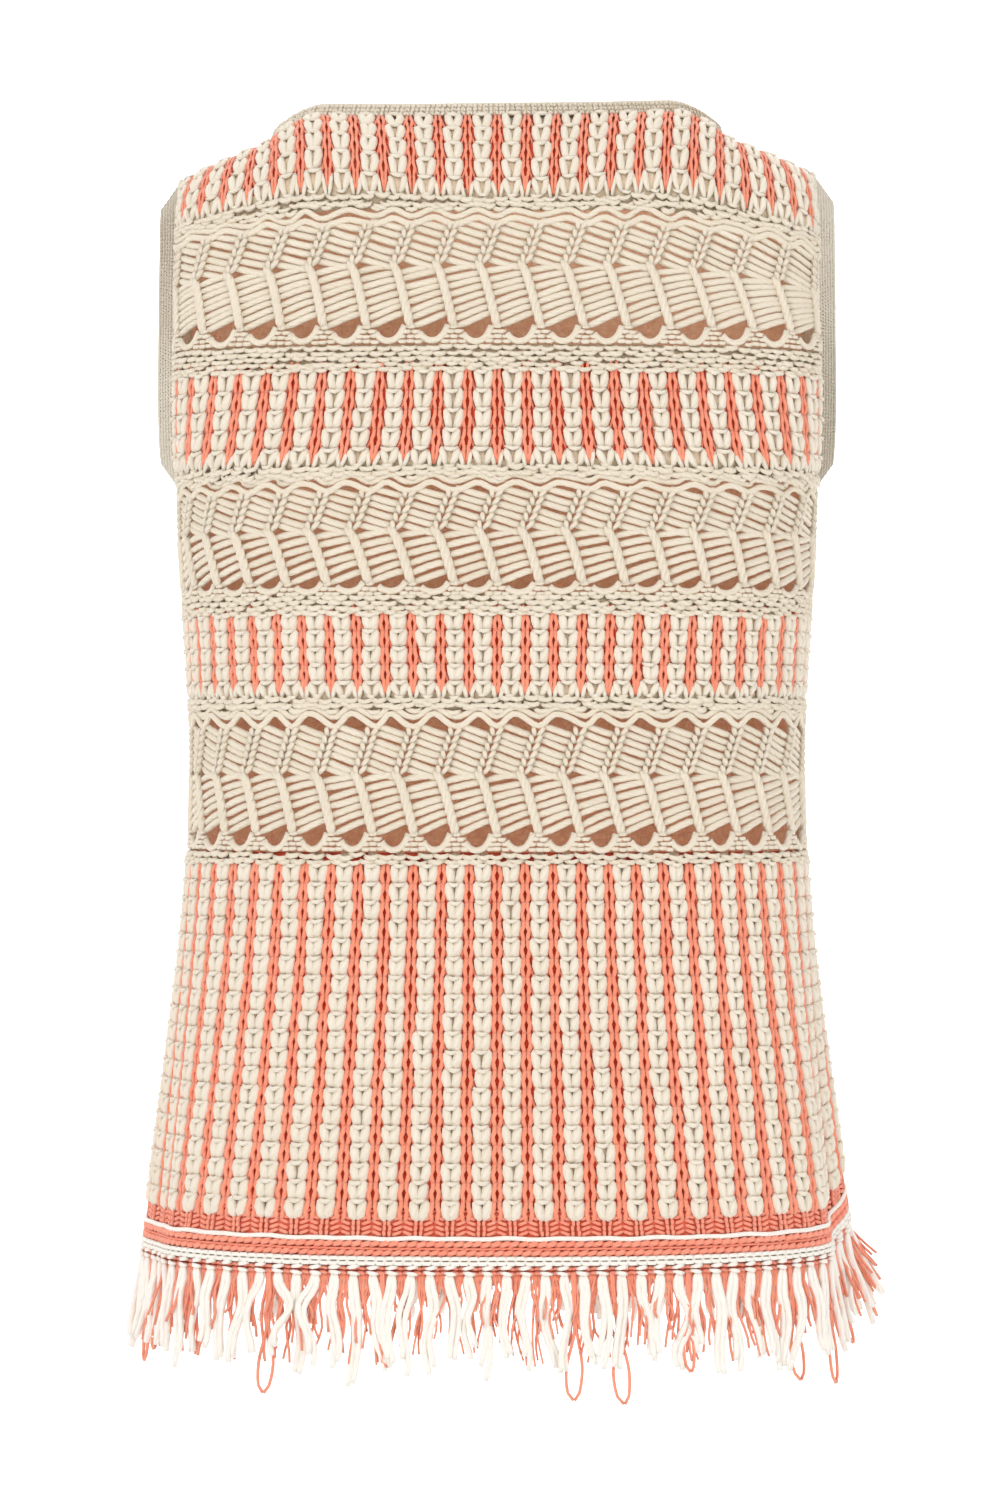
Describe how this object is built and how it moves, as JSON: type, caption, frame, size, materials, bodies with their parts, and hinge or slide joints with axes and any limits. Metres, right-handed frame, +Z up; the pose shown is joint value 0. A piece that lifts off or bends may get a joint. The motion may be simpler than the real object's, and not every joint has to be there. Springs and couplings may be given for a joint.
{
  "type": "sleeveless knit top",
  "caption": "Sleeveless knit top in chunky cotton rib with lace bands, a wide neckline, ribbed armholes and a fringed hem, open and hollow as when worn.",
  "frame": {"origin": "middle of the neck, level with the shoulders, where the wearer's shoulders hold the top", "axes": "+Z up along the body, +Y towards the front of the garment, +X towards its right side"},
  "size_m": [0.3933, 0.2281, 0.645],
  "materials": {
    "cream_yarn": "matte thick twisted cotton yarn, cream",
    "beige_yarn": "matte twisted cotton yarn, beige",
    "coral_yarn": "matte twisted cotton yarn, bright coral",
    "trim_yarn": "matte loose cotton yarn, cream and pale coral mixed"
  },
  "bodies": {
    "root": {"back_panel": "cream_yarn", "front_panel": "cream_yarn", "neckband": "beige_yarn", "armband_left": "beige_yarn", "armband_right": "beige_yarn", "hem_rib_back": "coral_yarn", "hem_rib_front": "coral_yarn", "hem_trim_back": "trim_yarn", "hem_trim_front": "trim_yarn", "fringe_back": "trim_yarn", "fringe_front": "trim_yarn"}
  },
  "joints": []
}
